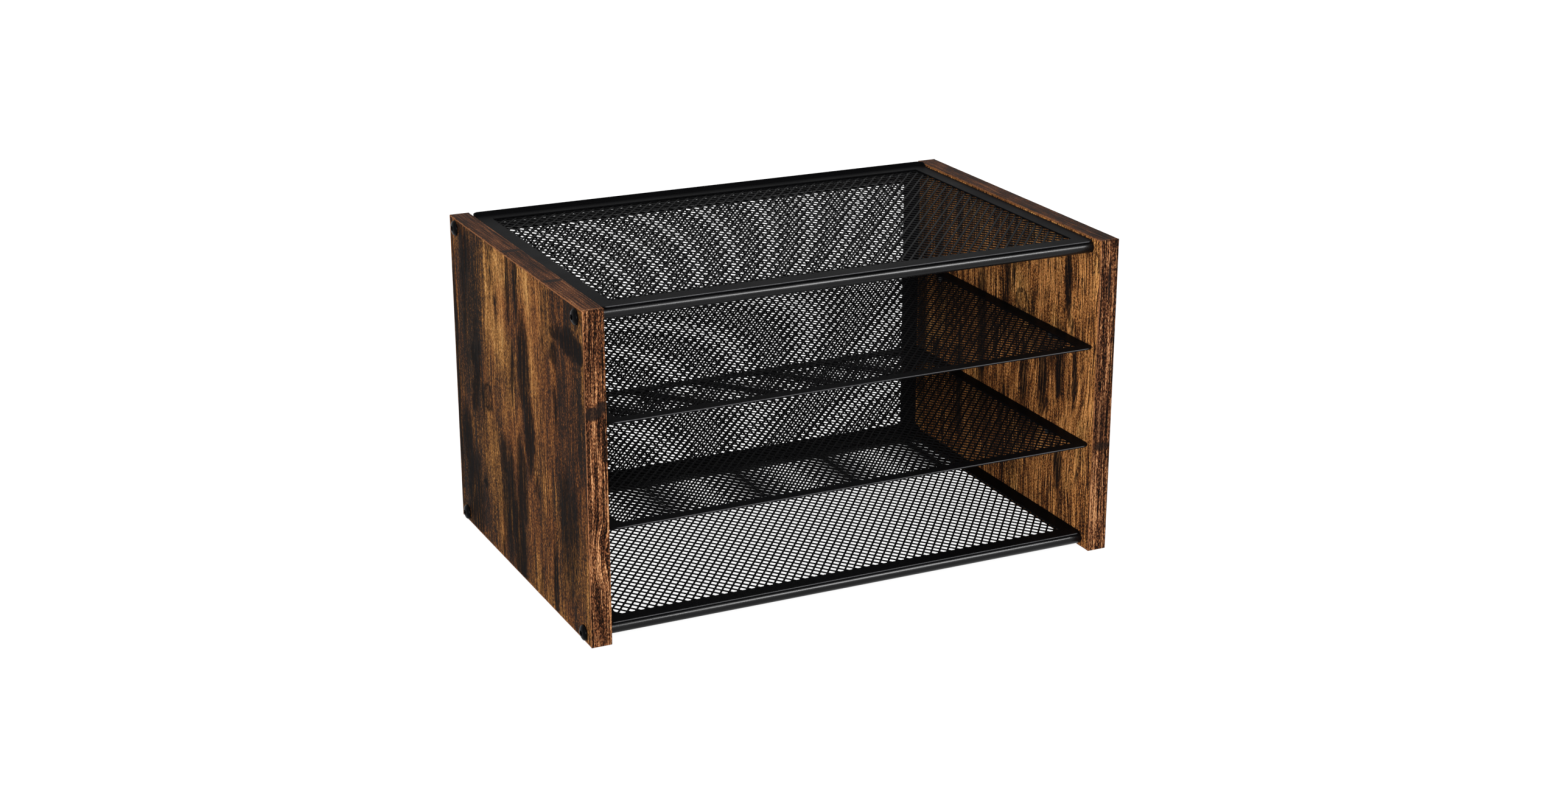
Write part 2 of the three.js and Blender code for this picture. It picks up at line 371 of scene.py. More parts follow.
def knot_group():
    """A small ring knot: dark rings that fade out at its edge."""
    inputs = {"Middle": NOWHERE, "Radius": 9.0, "Strength": 1.0}
    nodes, source, result = new_group("Ring knot", inputs, MASK_OUTPUT)
    offset = nodes.vector("SUBTRACT", source["Position"], source["Middle"])
    wobble = nodes.shift(source["Position"], *KNOT_WOBBLE)
    distance = nodes.total(nodes.flat_length(offset), wobble)
    share = nodes.math("DIVIDE", distance, source["Radius"])
    rings = nodes.math("SINE", nodes.times(distance, KNOT_RING_TURN))
    dark = nodes.math("MULTIPLY_ADD", rings, 0.14, 0.42)
    rim = nodes.times(nodes.fade(share, 0.5, 0.9), 0.4)
    patches = nodes.noise(source["Position"], KNOT_PATCH_SIZE)
    inside = nodes.times(nodes.fade(share, 0.85, 1.25, 1.0, 0.0),
                         nodes.fade(patches, 0.3, 0.55, 0.35, 1.0))
    mask = nodes.times(nodes.total(dark, rim), inside)
    nodes.put(result["Mask"], nodes.times(mask, source["Strength"]))
    return nodes.tree


def print_group():
    """Rustic wood print: broad fields, long grain lines, fine flecks and soot, times its painted
    fill light, which brightens faces in shade.
    """
    inputs = {"Tone": 0.0, "Soot": 0.0, "Line depth": 1.0, "Fleck depth": 1.0, "Gold": 0.5,
              "Lift": 1.0}
    nodes, source, result = new_group("Rustic wood print", inputs, FINISH_OUTPUTS)
    position = source["Position"]
    parts = nodes.separate(position)
    across = nodes.total(parts["X"], nodes.shift(position, *PRINT_DRIFT),
                         nodes.shift(position, *PRINT_WAVER))
    grain = nodes.noises(nodes.combine(across, parts["Y"], parts["Z"]), PRINT_NOISES)
    lines, flecks, dashes = grain["lines"], grain["flecks"], grain["dashes"]
    line_part = nodes.times(nodes.spread(lines, 1.5), source["Line depth"])
    fleck_part = nodes.times(nodes.spread(flecks, 1.9), source["Fleck depth"])
    tone = nodes.total(nodes.spread(grain["fields"], 1.1, 0.5),
                       nodes.spread(grain["strips"], 0.6), line_part, fleck_part, source["Tone"])
    gold = nodes.total(grain["hue"], nodes.minus(source["Gold"], 0.5))
    wood = nodes.mix(nodes.fade(gold, 0.38, 0.62),
                     nodes.ramp(tone, RED_BROWN), nodes.ramp(tone, GOLDEN))
    smoke = nodes.fade(grain["smoke"], 0.56, 0.74, 0.0, 0.9)
    burnt = nodes.math("MAXIMUM", smoke, source["Soot"])
    ragged = nodes.total(burnt, nodes.spread(lines, 1.6), nodes.spread(dashes, 1.5),
                         nodes.spread(flecks, 0.8))
    burnt = nodes.times(nodes.fade(ragged, 0.26, 0.72), nodes.fade(burnt, 0.0, 0.25))
    ink = nodes.fade(dashes, 0.56, 0.68, 0.0, 0.75)
    ink = nodes.times(ink, source["Fleck depth"])
    groove = nodes.fade(grain["pores"], 0.53, 0.66, 0.0, 0.7)
    groove = nodes.times(groove, source["Line depth"])
    wood = nodes.mix(nodes.math("MAXIMUM", ink, groove), wood, CRACK)
    cover = nodes.fade(lines, 0.5, 0.66, 0.97, 0.7)
    colour = nodes.mix(nodes.times(burnt, cover), wood, SOOT)
    # The colour is scaled by the painted fill light, which brightens the print of faces that lie in
    # shade
    nodes.fill(result, {
        "Colour": nodes.scale(colour, source["Lift"]),
        "Roughness": nodes.total(nodes.times(burnt, 0.12), nodes.spread(lines, 0.35, 0.6)),
        "Height": nodes.total(nodes.times(lines, 0.7), nodes.times(flecks, 0.3))})
    return nodes.tree


def emboss_group():
    """Pressed edge band: wavering ridges along its length, tan on top and dark between."""
    inputs = {"Tone": 0.0, "Soot": 0.0, "Contrast": 1.0, "Swirl": 0.0}
    nodes, source, result = new_group("Pressed edge grain", inputs, FINISH_OUTPUTS)
    position = source["Position"]
    parts = nodes.separate(position)
    across = nodes.total(parts["X"], nodes.shift(position, *EDGE_SWAY),
                         nodes.times(source["Swirl"], SWIRL_REACH),
                         nodes.shift(position, *EDGE_JITTER))
    grain = nodes.noises(nodes.combine(across, parts["Y"], parts["Z"]), EDGE_NOISES)
    ridges, breaks = grain["ridges"], grain["breaks"]
    crest = nodes.fade(ridges, 0.5, 0.68, 0.0, 0.42)
    groove = nodes.fade(ridges, 0.5, 0.34, 0.0, -0.34)
    raised = nodes.times(nodes.total(crest, groove), source["Contrast"])
    broken = nodes.times(nodes.spread(breaks, 2.3), source["Contrast"])
    tone = nodes.total(raised, broken, nodes.spread(grain["fields"], 0.9, 0.41), source["Tone"])
    ragged = nodes.total(source["Soot"], nodes.spread(ridges, 1.0), nodes.spread(breaks, 0.6))
    burnt = nodes.times(nodes.fade(ragged, 0.3, 0.85), nodes.fade(source["Soot"], 0.02, 0.35))
    colour = nodes.mix(nodes.times(burnt, 0.9), nodes.ramp(tone, EDGE_BROWN), EDGE_SOOT)
    nodes.fill(result, {
        "Colour": colour, "Roughness": nodes.spread(breaks, 0.5, 0.52),
        "Height": nodes.total(nodes.times(ridges, 0.75), nodes.times(breaks, 0.25))})
    return nodes.tree


def wear_group():
    """Worn edge: 1 on an edge, broken up along it, and 0 a little way in."""
    inputs = {"Distance": 1.0, "Width": 0.6}
    nodes, source, result = new_group("Edge wear", inputs, MASK_OUTPUT)
    chips = nodes.noise(source["Position"], CHIP_SIZE, 3.0, 0.6)
    width = nodes.times(source["Width"], nodes.fade(chips, 0.4, 0.62, 0.25, 1.5))
    share = nodes.math("DIVIDE", source["Distance"], width)
    nodes.put(result["Mask"], nodes.fade(share, 0.35, 1.0, 1.0, 0.0))
    return nodes.tree


def coat_group():
    """Baked black coat: fine orange peel and faint cloudiness."""
    inputs = {"Coat": BLACK, "Worn coat": BLACK, "Roughness": 0.5}
    nodes, source, result = new_group("Baked coat", inputs, FINISH_OUTPUTS)
    noises = nodes.noises(source["Position"], COAT_NOISES)
    peel, clouds = noises["peel"], noises["clouds"]
    share = nodes.total(nodes.spread(peel, 0.5, 0.08), nodes.spread(clouds, 0.5))
    rough = nodes.total(source["Roughness"], nodes.spread(clouds, 0.25), nodes.spread(peel, 0.2))
    nodes.fill(result, {"Colour": nodes.mix(share, source["Coat"], source["Worn coat"]),
                        "Roughness": rough, "Height": peel})
    return nodes.tree


STAIN = stain_group()
KNOT = knot_group()
WOOD_PRINT = print_group()
EDGE_GRAIN = emboss_group()
EDGE_WEAR = wear_group()
BAKED_COAT = coat_group()


def start_material(name):
    """A new material with its nodes, its shader and the place of each point in millimetres."""
    material = bpy.data.materials.new(name)
    material.use_nodes = True
    nodes = Nodes(material.node_tree)
    shader = material.node_tree.nodes["Principled BSDF"]
    place_of = nodes.add("ShaderNodeTexCoord").outputs["Object"]
    return material, nodes, shader, nodes.scale(place_of, 1 / MM)


def finish_material(nodes, shader, outputs, relief, gloss, colour):
    """Joins a colour and a finish group's roughness and height to the shader."""
    strength, depth = relief
    bump = nodes.add("ShaderNodeBump", {"Strength": strength, "Distance": depth * MM,
                                        "Height": outputs["Height"]})
    nodes.fill(shader.inputs, {"Base Color": colour, "Roughness": outputs["Roughness"],
                               "Specular IOR Level": gloss, "Normal": bump.outputs[0]})


def spots(nodes, position, marks):
    """Masks of soft marks: (across, along, half width, half length, strength)."""
    return [nodes.group(STAIN, {
        "Position": position, "Middle": (across, along, 0.0),
        "Half size": (half_width, half_length, 1.0), "Strength": strength})["Mask"]
        for across, along, half_width, half_length, strength in marks]


def knots(nodes, position, marks):
    """Masks of ring knots: (across, along, radius, strength)."""
    return [nodes.group(KNOT, {
        "Position": position, "Middle": (across, along, 0.0),
        "Radius": radius, "Strength": strength})["Mask"]
        for across, along, radius, strength in marks]


# Looks of the panel faces: across is from the front edge, along is from the foot
LEFT_OUTER = {
    "soot": [
        (102, 140, 12, 40, 1.0), (95, 100, 12, 30, 1.0), (112, 62, 12, 40, 1.0),
        (118, 20, 14, 42, 1.0), (132, 46, 12, 44, 0.85), (126, 186, 4, 30, 0.85),
        (112, 188, 5, 28, 0.8),
        (24, 178, 24, 10, 1.0), (6, 176, 12, 8, 1.0), (50, 164, 8, 9, 0.9), (46, 178, 12, 5, 0.9),
        (56, 20, 5, 28, 1.0), (30, 60, 20, 56, 0.72), (140, 42, 13, 50, 0.7),
        (144, 70, 9, 18, 0.8), (203, 26, 20, 42, 0.92), (214, 62, 14, 26, 0.85),
        (229, 100, 5, 130, 0.95), (197, 121, 5, 8, 0.9), (196, 90, 8, 8, 0.9),
        (182, 40, 5, 5, 0.8), (84, 70, 5, 12, 0.6), (210, 170, 10, 42, 0.5),
        (12, 200, 18, 16, 0.55)],
    "tones": [
        (152, 168, 28, 48, 0.28), (80, 150, 22, 66, 0.16), (74, 104, 18, 48, 0.12),
        (200, 150, 26, 75, -0.3), (30, 100, 28, 60, -0.18), (150, 30, 50, 50, -0.08),
        (218, 100, 16, 120, -0.14), (172, 76, 18, 44, 0.04), (12, 100, 14, 60, -0.02),
        (186, 150, 9, 70, -0.16)],
    "knots": [(171, 101, 9, 1.0)],
    "base": -0.05, "lines": 1.0, "flecks": 1.0, "gold": 0.5, "painted_fill_light": 1.0,
}
# This inner face's fill light of 1.5 is painted light: its print is brightened where it lies in
# shade
RIGHT_INNER = {
    "soot": [
        (35, 170, 5, 28, 1.0), (24, 108, 4, 30, 0.8), (42, 112, 6, 30, 0.9),
        (62, 100, 7, 34, 0.85), (40, 45, 6, 22, 0.9), (86, 96, 5, 30, 0.7),
        (108, 165, 5, 40, 0.7), (15, 60, 4, 30, 0.5), (140, 110, 8, 60, 0.7),
        (168, 60, 6, 50, 0.8), (198, 140, 9, 60, 0.65), (222, 100, 9, 110, 0.7),
        (50, 116, 26, 16, 0.45), (96, 176, 16, 20, 0.4), (74, 62, 20, 14, 0.45)],
    "tones": [
        (60, 172, 30, 40, 0.12), (18, 105, 22, 100, 0.16), (125, 108, 50, 40, -0.12),
        (105, 40, 40, 40, -0.2), (190, 100, 40, 100, -0.06)],
    "knots": [(90, 142, 8, 0.95)],
    "base": 0.1, "lines": 2.1, "flecks": 1.4, "gold": 0.38, "painted_fill_light": 1.5,
}
# This inner face's fill light of 1.5 is painted light: its print is brightened where it lies in
# shade
LEFT_INNER = {
    "soot": [
        (60, 150, 5, 50, 0.85), (66, 60, 5, 44, 0.75), (128, 180, 10, 14, 0.8),
        (150, 90, 4, 60, 0.6), (196, 40, 9, 34, 0.7), (18, 110, 8, 40, 0.55),
        (224, 120, 6, 90, 0.6), (96, 20, 6, 20, 0.7)],
    "tones": [(100, 120, 34, 60, 0.1), (180, 150, 24, 44, 0.08), (30, 60, 24, 50, -0.05)],
    "knots": [(120, 92, 8, 0.9)],
    "base": 0.04, "lines": 1.9, "flecks": 1.3, "gold": 0.5, "painted_fill_light": 1.5,
}
RIGHT_OUTER = {
    "soot": [
        (150, 120, 7, 40, 0.95), (144, 60, 6, 34, 0.9), (88, 186, 4, 22, 0.75),
        (40, 40, 12, 30, 0.6), (66, 150, 5, 30, 0.6), (210, 180, 16, 9, 0.9),
        (196, 60, 10, 36, 0.6), (20, 150, 5, 40, 0.6), (228, 100, 4, 110, 0.6)],
    "tones": [(110, 140, 26, 50, 0.12), (60, 80, 24, 50, 0.08), (190, 110, 26, 60, -0.04)],
    "knots": [(96, 88, 9, 0.9), (58, 118, 5, 0.8)],
    "base": -0.01, "lines": 1.0, "flecks": 1.0, "gold": 0.5, "painted_fill_light": 1.0,
}


def face_inputs(nodes, bent, placed, face):
    """What one face of a panel gives the wood print; its soft marks lie on the bent place."""
    masks = spots(nodes, bent, face["soot"]) + knots(nodes, placed, face["knots"])
    return {"Tone": nodes.total(*spots(nodes, bent, face["tones"]), face["base"]),
            "Soot": nodes.chain("MAXIMUM", masks), "Line depth": face["lines"],
            "Fleck depth": face["flecks"], "Gold": face["gold"], "Lift": face["painted_fill_light"]}


def board_material(side, outer, inner):
    """Print on both faces of a panel; its edges lie under the bands."""
    material, nodes, shader, position = start_material(f"{side} panel laminate")
    parts = nodes.separate(position)
    across = nodes.minus(parts["Y"], PANEL_FRONT)
    placed = nodes.combine(across, parts["Z"], parts["X"])
    bent = nodes.combine(nodes.total(across, nodes.shift(placed, *MARK_WARP)),
                         nodes.total(parts["Z"], nodes.shift(placed, *MARK_WARP_ALONG)), 0.0)
    from_middle = nodes.math("ABSOLUTE", parts["X"])
    on_outer = nodes.math("GREATER_THAN", from_middle, PANEL_MIDDLE)
    outer_inputs = face_inputs(nodes, bent, placed, outer)
    inputs = {"Position": placed}
    for name, inner_value in face_inputs(nodes, bent, placed, inner).items():
        inputs[name] = nodes.between(on_outer, inner_value, outer_inputs[name])
    outputs = nodes.group(WOOD_PRINT, inputs)
    finish_material(nodes, shader, outputs, BOARD_RELIEF, WOOD_GLOSS, outputs["Colour"])
    return material


def band_material(name, axis, look):
    """Pressed grain along one axis of an edge band, worn along its long edges."""
    material, nodes, shader, position = start_material(name)
    parts = nodes.separate(position)
    lengthways = parts["Z"] if axis == "Z" else nodes.minus(parts["Y"], PANEL_FRONT)
    from_middle = nodes.math("ABSOLUTE", parts["X"])
    from_inner = nodes.minus(from_middle, PANEL_INNER)
    from_outer = nodes.minus(PANEL_OUTER, from_middle)
    on_band = nodes.combine(from_inner, lengthways, 0.0)
    soot, tones, swirls = (spots(nodes, on_band, look.get(kind, []))
                           for kind in ("soot", "tones", "swirl"))
    outputs = nodes.group(EDGE_GRAIN, {
        "Position": nodes.combine(parts["X"], lengthways, look["seed"]),
        "Contrast": look["contrast"], "Tone": nodes.total(*tones, look["base"]),
        "Soot": nodes.chain("MAXIMUM", [*soot, 0.0]), "Swirl": nodes.total(*swirls, 0.0)})
    wear = nodes.group(EDGE_WEAR, {
        "Position": position, "Distance": nodes.math("MINIMUM", from_outer, from_inner),
        "Width": WEAR_WIDTH})["Mask"]
    wear = nodes.times(wear, WEAR_STRENGTH)
    colour = nodes.mix(wear, outputs["Colour"], WORN_WOOD)
    finish_material(nodes, shader, outputs, BAND_RELIEF, WOOD_GLOSS, colour)
    return material


def coat_material(name, look, highlight_corner=None):
    """Black coated metal, with a painted highlight along a front corner at (y, z) if there is one.
    """
    coat, worn, roughness, gloss, peel = look
    material, nodes, shader, position = start_material(name)
    outputs = nodes.group(BAKED_COAT, {"Position": position, "Coat": coat, "Worn coat": worn,
                                       "Roughness": roughness})
    colour = outputs["Colour"]
    # The lighter line along the upper front corner is a painted highlight, a little uneven along
    # its length
    if highlight_corner is not None:
        front, top = highlight_corner
        parts = nodes.separate(position)
        downwards = nodes.math("ABSOLUTE", nodes.minus(top, parts["Z"]))
        distance = nodes.total(nodes.minus(parts["Y"], front), downwards)
        highlight_strength = nodes.spread(nodes.noise(position, HIGHLIGHT_PATCH_SIZE), 0.5, 0.6)
        share = nodes.times(nodes.fade(distance, 0.2, 0.5, 1.0, 0.0), highlight_strength)
        colour = nodes.mix(share, colour, PAINTED_EDGE_HIGHLIGHT)
    finish_material(nodes, shader, outputs, (peel, PEEL_DEPTH), gloss, colour)
    return material


COATS = {name: coat_material(f"{name} coat", look) for name, look in COAT_LOOKS.items()}
FACES = {"left": (LEFT_OUTER, LEFT_INNER), "right": (RIGHT_OUTER, RIGHT_INNER)}

# Looks of the edge bands: across is from the inner face, along is from the foot or the front
BAND_LOOKS = {
    "left_front": {
        "contrast": 1.0, "base": -0.05, "seed": 3.0,
        "soot": [(9, 143, 9, 5, 1.0), (3, 146, 5, 5, 0.8), (12, 130, 4, 3, 0.6),
                 (9, 38, 8, 4, 0.45)],
        "tones": [(6, 60, 12, 22, 0.1), (6, 190, 12, 20, -0.04)],
        "swirl": [(7, 56, 7, 20, 1.0)]},
    "right_front": {
        "contrast": 1.1, "base": -0.05, "seed": 31.0,
        "soot": [(6, 88, 12, 22, 0.4), (7, 70, 9, 4, 0.7), (7, 178, 1.5, 18, 0.8)],
        "tones": [(6, 12, 14, 14, 0.1), (6, 46, 14, 30, 0.08), (6, 165, 14, 50, -0.08),
                  (6, 88, 14, 28, -0.06)]},
    "left_back": {
        "contrast": 0.9, "base": 0.0, "seed": 57.0,
        "soot": [(6, 120, 12, 12, 0.7)], "tones": [(6, 50, 12, 30, 0.08)]},
    "right_back": {
        "contrast": 0.9, "base": 0.0, "seed": 83.0,
        "soot": [(6, 60, 12, 10, 0.7)], "tones": [(6, 150, 12, 30, 0.08)]},
    "left_top": {
        "contrast": 0.6, "base": -0.06, "seed": 109.0,
        "soot": [(7, 135, 9, 3.5, 0.8), (6, 64, 8, 3.5, 0.9), (6, 160, 12, 26, 0.3)],
        # The tone spot 1 mm from the front is a painted highlight where the front corner catches
        # the light
        "tones": [(6, 25, 14, 34, 0.1), (6, 1, 14, 2, 0.3)]},
    "right_top": {
        "contrast": 0.5, "base": -0.1, "seed": 131.0,
        # The tone spot 1 mm from the front is a painted highlight where the front corner catches
        # the light
        "soot": [(6, 90, 12, 30, 0.4)], "tones": [(6, 1, 14, 2, 0.2)]},
    "left_bottom": {"contrast": 0.6, "base": 0.0, "seed": 151.0},
    "right_bottom": {"contrast": 0.6, "base": 0.0, "seed": 173.0},
}


# Side panels: the boards keep their solids, the bands are rounded and slightly uneven
EDGE_ROUNDING = 0.42
EDGE_STEPS = 4
EDGE_UNEVENNESS = (-0.1, 0.06)
EDGE_LEAST = 0.01
BAND_STRETCHES = 70

# Bands of a panel: axis, which way its outside looks on the other axis, and rounded ends
BAND_SIDES = {
    "front": ("Z", -1, True),
    "back": ("Z", 1, True),
    "top": ("Y", 1, False),
    "bottom": ("Y", -1, False),
}


def band_section(width, depth, rounding, sunk):
    """Cross-section of a band: sharp at the board, rounded outside, sunk by this much."""
    outside = depth - sunk
    points = [(0.0, 0.0), (width, 0.0)]
    for centre, start in (((width - rounding, outside - rounding), 0),
                          ((rounding, outside - rounding), 90)):
        for angle in quarter(EDGE_STEPS):
            turn = math.radians(start) + angle
            points.append((centre[0] + rounding * math.cos(turn),
                           centre[1] + rounding * math.sin(turn)))
    return points


def edge_band(node, axis, outward, round_ends):
    """One band, swept along the axis Y or Z, with its outside towards plus or minus."""
    low, high = span(node)
    draw = random.Random(node)
    width = high.x - low.x
    along, across = (2, 1) if axis == "Z" else (1, 2)
    start, end = low[along], high[along]
    depth = high[across] - low[across]
    back = low[across] if outward > 0 else high[across]
    stations = [start + (end - start) * step / BAND_STRETCHES
                for step in range(BAND_STRETCHES + 1)]
    if round_ends:
        near = [drop for _, drop in fillet(EDGE_ROUNDING, EDGE_STEPS)]
        stations = ([start + value for value in near] + stations[1:-1]
                    + [end - value for value in reversed(near)])
    loops = []
    for station in stations:
        sunk = 0.0
        if round_ends:
            gap = EDGE_ROUNDING - min(station - start, end - station, EDGE_ROUNDING)
            sunk = EDGE_ROUNDING - math.sqrt(max(EDGE_ROUNDING ** 2 - gap ** 2, 0.0))
        uneven = EDGE_ROUNDING + draw.uniform(*EDGE_UNEVENNESS)
        rounding = min(uneven, depth - sunk - EDGE_LEAST)
        loop = []
        for u, v in band_section(width, depth, rounding, sunk):
            point = [low.x + u, 0.0, 0.0]
            point[along] = station
            point[across] = back + outward * v
            loop.append(point)
        loops.append(loop)
    vertices, faces = loft(loops, closed=False)
    count = len(loops[0])
    faces.append(tuple(range(count)))
    faces.append(tuple(len(vertices) - count + index for index in range(count)))
    return vertices, faces


def build_panels():
    for side, (outer, inner) in FACES.items():
        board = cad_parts[f"{side}_panel_board"]
        board.data.materials.clear()
        board.data.materials.append(board_material(side, outer, inner))
        for place_name, (axis, outward, rounded) in BAND_SIDES.items():
            node = f"{side}_panel_{place_name}_band"
            look = BAND_LOOKS[f"{side}_{place_name}"]
            material = band_material(f"{side} {place_name} band", axis, look)
            vertices, faces = edge_band(node, axis, outward, rounded)
            piece = add_piece(f"{side}_{place_name}_edge_band", vertices, faces, material,
                              BAND_SHARP, weighted=True)
            place(piece, "frame", node)


# Shelf plates: one pressed sheet each, with a window for the mesh
CORNER_STEPS = 10
SHEET_ROUNDING = 0.34
WINDOW_CORNER = 0.8
WINDOW_ROUNDING = 0.25
WINDOW_STEPS = 3
LIP_HEIGHT = 2.4
LIP_TAPER = ((3.6, 0.0), (2.4, 0.22), (1.2, 0.75))
BEND_INSIDE = 0.45
BEND_OUTSIDE = 1.1
LIP_TOP_ROUNDING = 0.45

# Flat rings beside a plain edge, in the lip's place: first distance from the edge, and step
FLAT_RINGS = ((1.6, 0.2), (0.75, 0.08))


def rounded_track(half_x, front, back, radius):
    """Round a rectangle, anticlockwise from above: (point, outward direction, share of lip)."""
    track = []
    corners = ((1, front + radius, -90), (1, back - radius, 0),
               (-1, back - radius, 90), (-1, front + radius, 180))
    for side, centre_y, start in corners:
        centre_x = side * (half_x - radius)
        at_back = start in (0, 90)
        if start == 0:
            for before, share in LIP_TAPER:
                track.append(((half_x, centre_y - before), (1.0, 0.0), share))
        for angle in quarter(CORNER_STEPS):
            turn = math.radians(start) + angle
            direction = (math.cos(turn), math.sin(turn))
            point = (centre_x + radius * direction[0], centre_y + radius * direction[1])
            track.append((point, direction, 1.0 if at_back else 0.0))
        if start == 90:
            for before, share in reversed(LIP_TAPER):
                track.append(((-half_x, centre_y - before), (-1.0, 0.0), share))
    return track


def plain_edge():
    """Outer edge without a lip: (inset, height over the plate's underside), from the top in."""
    flat = [(first - step * index, PLATE_THICKNESS)
            for first, step in FLAT_RINGS for index in range(FILLET_STEPS + 1)]
    upper = [(inset, PLATE_THICKNESS - drop) for inset, drop in fillet(SHEET_ROUNDING)]
    lower = [(drop, inset) for inset, drop in fillet(SHEET_ROUNDING)]
    return flat + upper + lower


def lip_edge():
    """Outer edge with the lip turned up, in as many points as the plain one."""
    crest = PLATE_THICKNESS + LIP_HEIGHT
    fold = [(PLATE_THICKNESS + inset, PLATE_THICKNESS + drop)
            for inset, drop in fillet(BEND_INSIDE)]
    round_in = [(PLATE_THICKNESS - drop, crest - inset)
                for inset, drop in fillet(LIP_TOP_ROUNDING)]
    round_out = [(inset, crest - drop) for inset, drop in fillet(LIP_TOP_ROUNDING)]
    bend = [(drop, inset) for inset, drop in fillet(BEND_OUTSIDE)]
    return fold + round_in + round_out + bend


def window_edge():
    """The window's rounded edge: (distance into the plate, height), from the underside up."""
    lower = fillet(WINDOW_ROUNDING, WINDOW_STEPS)
    upper = [(drop, PLATE_THICKNESS - inset)
             for inset, drop in fillet(WINDOW_ROUNDING, WINDOW_STEPS)]
    return lower + upper


def sheet_plate(low, high, window, corner, lip):
    """A flat plate with its window, as one closed loop of loops."""
    outer = rounded_track(high.x, low.y, high.y, corner)
    inner = rounded_track(*window, WINDOW_CORNER)
    loops = []
    for flat, raised in zip(plain_edge(), lip_edge()):
        loop = []
        for (x, y), (across, deep), lip_share in outer:
            share = lip_share if lip else 0.0
            inset = flat[0] + (raised[0] - flat[0]) * share
            height = flat[1] + (raised[1] - flat[1]) * share
            loop.append((x - inset * across, y - inset * deep, low.z + height))
        loops.append(loop)
    for distance, height in window_edge():
        loops.append([(x + distance * across, y + distance * deep, low.z + height)
                      for (x, y), (across, deep), _ in inner])
    return loft(loops, closed=True)


# Diamond meshes: the strands in millimetres, and the tolerance of their cut ends in metres
STRAND_CHAMFER = 0.14
STRAND_DEPTH = 0.6
CUT_TOLERANCE = 1e-6


def diamond_sheet(low, high, pitch, strand):
    """Flat diamond mesh cut from one sheet: strands with chamfered tops and straight sides."""
    half_x, half_y = pitch[0] / 2, pitch[1] / 2
    height = half_x * half_y / math.hypot(half_x, half_y)
    levels = []
    for width, z in ((strand - 2 * STRAND_CHAMFER, high.z),
                     (strand, high.z - STRAND_CHAMFER),
                     (strand, high.z - STRAND_DEPTH)):
        share = 1 - width / 2 / height
        levels.append((share * half_x, share * half_y, z))
    columns = math.ceil(high.x / half_x) + 2
    middle_y = (low.y + high.y) / 2
    rows = math.ceil((high.y - middle_y) / half_y) + 2
    bm = bmesh.new()
    tips = {}
    for column in range(-columns, columns + 1):
        for row in range(-rows, rows + 1):
            if (column + row) % 2 == 0:
                continue
            x, y = column * half_x, middle_y + row * half_y
            for level, (reach_x, reach_y, z) in enumerate(levels):
                tips[column, row, level] = [
                    bm.verts.new((MM * (x + dx), MM * (y + dy), MM * z))
                    for dx, dy in ((reach_x, 0), (0, reach_y), (-reach_x, 0), (0, -reach_y))]
    for (column, row, level), corners in tips.items():
        if level == 0:
            continue
        above = tips[column, row, level - 1]
        for corner in range(4):
            following = (corner + 1) % 4
            bm.faces.new((above[corner], above[following], corners[following], corners[corner]))
    for column in range(1 - columns, columns):
        for row in range(1 - rows, rows):
            if (column + row) % 2:
                continue
            for level in (0, 2):
                east = tips[column + 1, row, level]
                north = tips[column, row + 1, level]
                west = tips[column - 1, row, level]
                south = tips[column, row - 1, level]
                flats = [(east[2], north[3], west[0], south[1]),
                         (east[2], east[1], north[0], north[3]),
                         (north[3], north[2], west[1], west[0])]
                for flat in flats:
                    bm.faces.new(flat if level == 0 else flat[::-1])
    trim(bm, low, high)
    return bm


def trim(bm, low, high):
    """Cuts a mesh sheet to its rectangle and closes the strands that were cut."""
    for normal, limit in (((1, 0, 0), high.x), ((-1, 0, 0), -low.x),
                          ((0, 1, 0), high.y), ((0, -1, 0), -low.y)):
        everything = list(bm.verts) + list(bm.edges) + list(bm.faces)
        bmesh.ops.bisect_plane(bm, geom=everything, plane_co=Vector(normal) * limit * MM,
                               plane_no=normal, clear_outer=True)
        rim = [edge for edge in bm.edges if edge.is_boundary and all(
            abs(vertex.co.dot(Vector(normal)) - limit * MM) < CUT_TOLERANCE
            for vertex in edge.verts)]
        bmesh.ops.holes_fill(bm, edges=rim, sides=0)
    loose = [vertex for vertex in bm.verts if not vertex.link_faces]
    bmesh.ops.delete(bm, geom=loose, context="VERTS")


# Shelves: a window is its half width, its front and its back; the middle ones pull out
FIXED_SHELF = {"body": "frame", "window": (151.8, -98.6, 100.2), "corner": 4.5, "lip": True}
MIDDLE_SHELF = {"window": (153.0, -107.2, 103.0), "corner": 6.0, "lip": False,
                "pitch": (5.9, 7.05), "strand": 1.05}
SHELVES = {
    "top_shelf": {**FIXED_SHELF, "pitch": (6.6, 8.1), "strand": 1.22},
    "upper_middle_shelf": {**MIDDLE_SHELF, "body": "upper_middle_shelf"},
    "lower_middle_shelf": {**MIDDLE_SHELF, "body": "lower_middle_shelf"},
    "bottom_shelf": {**FIXED_SHELF, "pitch": (6.0, 7.9), "strand": 1.15},
}


def build_shelves():
    for name, shelf in SHELVES.items():
        low, high = span(f"{name}_rim")
        vertices, faces = sheet_plate(low, high, shelf["window"], shelf["corner"], shelf["lip"])
        # The plate's coat gets a painted highlight along this upper front corner
        highlight_corner = (low.y, low.z + PLATE_THICKNESS)
        coat = coat_material(f"{name} plate coat", COAT_LOOKS["Plate"], highlight_corner)
        plate = add_piece(f"{name}_plate", vertices, faces, coat, PLATE_SHARP, weighted=True)
        place(plate, shelf["body"], f"{name}_rim")
        low, high = span(f"{name}_mesh")
        strands = diamond_sheet(low, high, shelf["pitch"], shelf["strand"])
        sheet = finish_piece(f"{name}_diamond_mesh", strands, COATS["Mesh"], MESH_SHARP)
        place(sheet, shelf["body"], f"{name}_mesh")


# Mesh back: a rim and a diamond mesh that runs into it, both made flat and stood upright
BACK_MARGIN = 12.0
BACK_LAP = 1.5
BACK_CORNER = 4.0
BACK_PITCH = (5.84, 6.5)
BACK_STRAND = 1.17
BACK_MESH_SINK = 0.2


